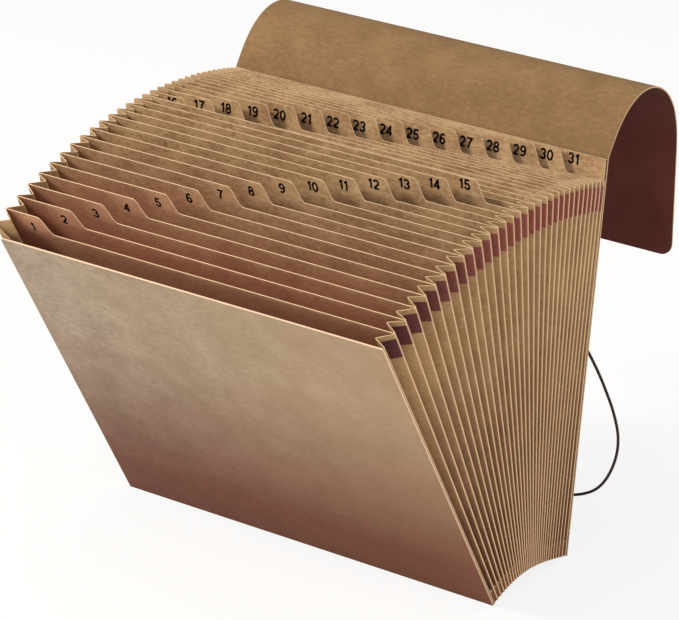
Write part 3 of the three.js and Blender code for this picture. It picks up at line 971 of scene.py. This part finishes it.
def add_boards():
    bottom = floor_height(PANELS[0], FRONT_BEHIND - BOARD_THICKNESS / 2)
    outline = board_outline(bottom, POCKET_HEIGHT, BOARD_CORNER_RADIUS)
    mesh = outline_mesh("front_board", outline, [], BOARD_THICKNESS, FRONT_BOARD_BEVEL)
    mesh.transform(PANELS[0].matrix() @ Matrix.Translation((0, 0, -FRONT_BEHIND * MM)))
    add_piece("front_board", mesh, [FRONT_BOARD], "file", ["front_panel"])

    last = PANELS[POCKET_COUNT]
    bottom = floor_height(last, BACK_BEHIND + BOARD_THICKNESS / 2)
    hole_radius = EYELET_BORE + EYELET_WALL + CLEARANCE
    hole = arc((EYELET_ACROSS, EYELET_HEIGHT), (hole_radius, hole_radius), 0, 345, 23)
    outline = board_outline(bottom, TAB_HEIGHT, 0)
    mesh = outline_mesh("back_board", outline, [hole], BOARD_THICKNESS, BACK_BOARD_BEVEL)
    for face in mesh.polygons:
        face.material_index = 1 if face.normal.z < -0.8 else 0
    mesh.transform(last.matrix() @ Matrix.Translation((0, 0, -BACK_BEHIND * MM)))
    add_piece("back_board", mesh, [FLAP_KRAFT, MAROON], "file", ["back_panel"])


# Flap

FLAP_CURL_STEPS = 60
FLAP_TAIL_STEPS = 8
FLAP_CORNER_STEPS = 8
FLAP_COLUMNS = 24
FLAP_FINE_PIECES = 8
FLAP_CREASE_GAP = 0.03


def flap_angle(distance):
    return math.radians(FLAP_START_ANGLE - FLAP_TURN * smooth(distance / FLAP_CURL_LENGTH))


def flap_stops():
    length = FLAP_CURL_LENGTH + FLAP_TAIL_LENGTH
    corner = length - FLAP_CORNER_RADIUS
    stops = [FLAP_CURL_LENGTH * step / FLAP_CURL_STEPS for step in range(FLAP_CURL_STEPS + 1)]
    for step in range(1, FLAP_TAIL_STEPS + 1):
        stops.append(mix(FLAP_CURL_LENGTH, corner, step / FLAP_TAIL_STEPS))
    for step in range(1, FLAP_CORNER_STEPS + 1):
        stops.append(corner + FLAP_CORNER_RADIUS * math.sin(math.pi / 2 * step / FLAP_CORNER_STEPS))
    return stops


def flap_half_width(distance):
    into = distance - (FLAP_CURL_LENGTH + FLAP_TAIL_LENGTH - FLAP_CORNER_RADIUS)
    if into <= 0:
        return HALF_WIDTH
    rest = math.sqrt(max(FLAP_CORNER_RADIUS ** 2 - into ** 2, 0))
    return HALF_WIDTH - FLAP_CORNER_RADIUS + rest


def add_flap():
    crease = PANELS[POCKET_COUNT]
    crease_height = TAB_HEIGHT + CLEARANCE + FLAP_THICKNESS / 2
    place = crease.at(0, crease_height, BACK_BEHIND)
    outer = []
    inner = []
    previous = 0.0
    for distance in flap_stops():
        for piece in range(FLAP_FINE_PIECES):
            angle = flap_angle(mix(previous, distance, (piece + 0.5) / FLAP_FINE_PIECES))
            step = (distance - previous) / FLAP_FINE_PIECES
            place = place + Vector((0, math.cos(angle), math.sin(angle))) * step
        previous = distance
        angle = flap_angle(distance)
        half = flap_half_width(distance)
        for rows, sign in ((outer, 1), (inner, -1)):
            off = Vector((0, -math.sin(angle), math.cos(angle))) * (sign * FLAP_THICKNESS / 2)
            row = []
            for column in range(FLAP_COLUMNS + 1):
                row.append(place + off + Vector((mix(-half, half, column / FLAP_COLUMNS), 0, 0)))
            rows.append(row)
    for rows, sign in ((outer, 1), (inner, -1)):
        foot = crease.at(0, TAB_HEIGHT + FLAP_CREASE_GAP, BACK_BEHIND - sign * FLAP_THICKNESS / 2)
        rows.insert(0, [Vector((point.x, foot.y, foot.z)) for point in rows[0]])
    mesh = closed_grid("curled_flap", outer, inner)
    for face in mesh.polygons:
        face.use_smooth = True
    mesh.set_sharp_from_angle(angle=math.radians(40))
    add_piece("curled_flap", mesh, [FLAP_KRAFT, MAROON], "flap", ["flap"])


# Eyelet and elastic cord

def lathe_mesh(name, profile, segments=48):
    """A body turned about Z from a closed profile of (radius, along) points in millimetres."""
    work = bmesh.new()
    rings = []
    for segment in range(segments):
        angle = 2 * math.pi * segment / segments
        turn = Vector((math.cos(angle), math.sin(angle)))
        rings.append([work.verts.new((*(turn * radius * MM), along * MM)) for radius, along in profile])
    count = len(profile)
    for place, ring in enumerate(rings):
        following = rings[(place + 1) % segments]
        for corner in range(count):
            other = (corner + 1) % count
            work.faces.new((ring[corner], ring[other], following[other], following[corner]))
    bmesh.ops.recalc_face_normals(work, faces=work.faces)
    mesh = bpy.data.meshes.new(name)
    work.to_mesh(mesh)
    work.free()
    for face in mesh.polygons:
        face.use_smooth = True
    mesh.set_sharp_from_angle(angle=math.radians(50))
    return mesh


def add_eyelet():
    outer = EYELET_BORE + EYELET_WALL
    start = BOARD_THICKNESS / 2 + CLEARANCE
    rim_middle = (outer + EYELET_RIM + EYELET_BORE) / 2
    rim_half = (outer + EYELET_RIM - EYELET_BORE) / 2
    rolled = [(rim_middle + rim_half * math.cos(math.radians(angle)),
               start + EYELET_RIM_THICKNESS * math.sin(math.radians(angle))) for angle in range(0, 181, 15)]
    profile = [(EYELET_BORE, -BOARD_THICKNESS / 2), (outer, -BOARD_THICKNESS / 2), (outer, start)] + rolled
    mesh = lathe_mesh("rolled_eyelet", profile)
    facing_back = Matrix.Rotation(math.pi, 4, "X")
    seat = Matrix.Translation((EYELET_ACROSS * MM, EYELET_HEIGHT * MM, -BACK_BEHIND * MM))
    mesh.transform(PANELS[POCKET_COUNT].matrix() @ seat @ facing_back)
    add_piece("rolled_eyelet", mesh, [BRASS], "file", ["cord_eyelet"])


CORD_DIAMETER = 2
CORD_SIDES = 12
CORD_ROUTE_STEPS = 8
CORD_POINTS = [
    (71.15, 78.97, 230.1), (71.15, 82.77, 229.6), (71.3, 86.27, 228.2), (72.2, 88.57, 224.5),
    (74.5, 89.47, 218), (80, 89.57, 206), (90, 89.27, 190), (103, 88.87, 171.5),
    (117.5, 88.47, 152.5), (130.6, 88.27, 135.4), (143.4, 88.27, 116.3), (150.4, 88.27, 103.3),
    (155.4, 88.27, 92.4), (159.4, 88.27, 79.6), (160.4, 88.27, 71), (159.6, 88.27, 61.2),
    (156.6, 88.27, 50.6), (151.6, 88.27, 40.2), (145.2, 88.27, 32.1), (136.7, 88.27, 26.2),
    (123.4, 88.27, 21.2), (108, 88.27, 19.2), (92, 88.27, 22), (77, 88.27, 30),
    (65, 88.27, 44), (57.5, 88.47, 63), (54.5, 88.77, 86), (54.8, 89.07, 112),
    (57.2, 89.27, 140), (60.8, 89.47, 168), (64.6, 89.57, 194), (67.4, 89.47, 212),
    (68.6, 88.47, 223.6), (68.85, 86.17, 228.2), (68.85, 82.77, 229.6), (68.85, 78.97, 230.1),
]


def smooth_route(points, steps):
    """Points of a centripetal curve through the given ones."""
    spots = [Vector(point) for point in points]
    spots = [2 * spots[0] - spots[1]] + spots + [2 * spots[-1] - spots[-2]]
    route = []
    for place in range(1, len(spots) - 2):
        before, start, end, after = spots[place - 1:place + 3]
        first = (start - before).length ** 0.5
        second = (end - start).length ** 0.5
        third = (after - end).length ** 0.5
        middle = (end - start) / second
        leave = ((start - before) / first - (end - before) / (first + second) + middle) * second
        arrive = (middle - (after - start) / (second + third) + (after - end) / third) * second
        for step in range(steps):
            t = step / steps
            route.append(
                start * (2 * t ** 3 - 3 * t ** 2 + 1) + leave * (t ** 3 - 2 * t ** 2 + t)
                + end * (3 * t ** 2 - 2 * t ** 3) + arrive * (t ** 3 - t ** 2))
    route.append(spots[-2])
    return route


def add_cord():
    route = smooth_route(CORD_POINTS, CORD_ROUTE_STEPS)
    work = bmesh.new()
    layer = work.loops.layers.uv.new("along_and_round")
    rings = []
    side = Vector((1, 0, 0))
    gone = 0.0
    for place, spot in enumerate(route):
        before = route[max(place - 1, 0)]
        after = route[min(place + 1, len(route) - 1)]
        along = (after - before).normalized()
        side = (side - along * side.dot(along)).normalized()
        other = along.cross(side)
        gone += (spot - before).length
        ring = []
        for corner in range(CORD_SIDES):
            angle = 2 * math.pi * corner / CORD_SIDES
            off = (side * math.cos(angle) + other * math.sin(angle)) * CORD_DIAMETER / 2
            ring.append(work.verts.new((spot + off) * MM))
        rings.append((ring, gone))
    for (first, start), (second, end) in zip(rings, rings[1:]):
        for corner in range(CORD_SIDES):
            other = (corner + 1) % CORD_SIDES
            face = work.faces.new((first[corner], first[other], second[other], second[corner]))
            places = ((start, corner), (start, corner + 1), (end, corner + 1), (end, corner))
            for loop, (distance, turn) in zip(face.loops, places):
                loop[layer].uv = (distance / CORD_DIAMETER, turn / CORD_SIDES * math.pi)
            face.smooth = True
    work.faces.new(rings[0][0][::-1])
    work.faces.new(rings[-1][0])
    bmesh.ops.recalc_face_normals(work, faces=work.faces)
    mesh = bpy.data.meshes.new("elastic_loop")
    work.to_mesh(mesh)
    work.free()
    piece = add_piece("elastic_loop", mesh, [ELASTIC], "file", ["elastic_cord"])


# Camera, floor and light

def add_camera():
    camera = bpy.data.objects.new("photo_camera", bpy.data.cameras.new("photo_camera"))
    bpy.context.collection.objects.link(camera)
    azimuth = math.radians(CAMERA_AZIMUTH)
    elevation = math.radians(CAMERA_ELEVATION)
    level = math.cos(elevation)
    back = Vector((math.sin(azimuth) * level, -math.cos(azimuth) * level, math.sin(elevation)))
    camera.location = Vector(CAMERA_PLACE) * MM
    camera.rotation_euler = back.to_track_quat("Z", "Y").to_euler()
    camera.data.sensor_fit = "HORIZONTAL"
    camera.data.sensor_width = SENSOR_WIDTH
    camera.data.lens = SENSOR_WIDTH * CAMERA_FOCAL_PIXELS / IMAGE_WIDTH_PIXELS
    camera.data.clip_end = 20
    bpy.context.scene.camera = camera


# The share of pure white that the camera sees in the floor, which still keeps the object's shadow
FLOOR_WHITENESS = 0.82


def add_floor():
    bpy.ops.mesh.primitive_plane_add(size=12, location=(0, 0, 0))
    floor = bpy.context.object
    floor.name = "pale_floor"
    material, tree = new_material("pale studio floor")
    shader = add_node(tree, "ShaderNodeBsdfPrincipled", {"Base Color": linear("#f4f2ef"), "Roughness": 0.9})
    white = add_node(tree, "ShaderNodeEmission", {"Color": (1, 1, 1, 1), "Strength": 1.0})
    path = add_node(tree, "ShaderNodeLightPath")
    seen = {0: path.outputs["Is Camera Ray"], 1: FLOOR_WHITENESS}
    share = add_node(tree, "ShaderNodeMath", seen, operation="MULTIPLY").outputs[0]
    both = add_node(tree, "ShaderNodeMixShader", {0: share, 1: shader.outputs[0], 2: white.outputs[0]})
    output = add_node(tree, "ShaderNodeOutputMaterial")
    tree.links.new(both.outputs[0], output.inputs["Surface"])
    floor.data.materials.append(material)


def add_area_light(name, place, target, size, power, colour):
    light = bpy.data.lights.new(name, "AREA")
    light.shape = "RECTANGLE"
    light.size, light.size_y = size
    light.energy = power
    light.color = linear(colour)[:3]
    lamp = bpy.data.objects.new(name, light)
    bpy.context.collection.objects.link(lamp)
    lamp.location = place
    direction = Vector(place) - Vector(target)
    lamp.rotation_euler = direction.to_track_quat("Z", "Y").to_euler()


def add_light():
    world = bpy.data.worlds.new("studio")
    bpy.context.scene.world = world
    world.use_nodes = True
    tree = world.node_tree
    tree.nodes.clear()
    path = add_node(tree, "ShaderNodeLightPath")
    soft = add_node(tree, "ShaderNodeBackground", {"Color": (1, 1, 1, 1), "Strength": 0.36})
    white = add_node(tree, "ShaderNodeBackground", {"Color": (1, 1, 1, 1), "Strength": 1.0})
    both = add_node(tree, "ShaderNodeMixShader", {
        0: path.outputs["Is Camera Ray"], 1: soft.outputs[0], 2: white.outputs[0]})
    output = add_node(tree, "ShaderNodeOutputWorld")
    tree.links.new(both.outputs[0], output.inputs["Surface"])
    add_area_light("key", (-1.5, -1.05, 1.5), (0, -0.05, 0.2), (0.5, 0.5), 46, "#fff6ea")
    add_area_light("side", (1.9, -0.6, 1.2), (0, 0, 0.15), (1.0, 1.0), 20, "#fffaf4")
    add_area_light("top", (0, 0.3, 2.2), (0, 0.0, 0.2), (1.4, 1.4), 10, "#ffffff")


add_camera()
add_cord()
add_boards()
add_dividers()
add_bellows()
add_tape("mouth_tape_right_cloth", 1, POCKET_HEIGHT, "mouth_tape_right")
add_tape("mouth_tape_left_cloth", -1, TAB_HEIGHT, "mouth_tape_left")
add_flap()
add_eyelet()
add_floor()
add_light()
bpy.context.scene.view_settings.view_transform = "Standard"
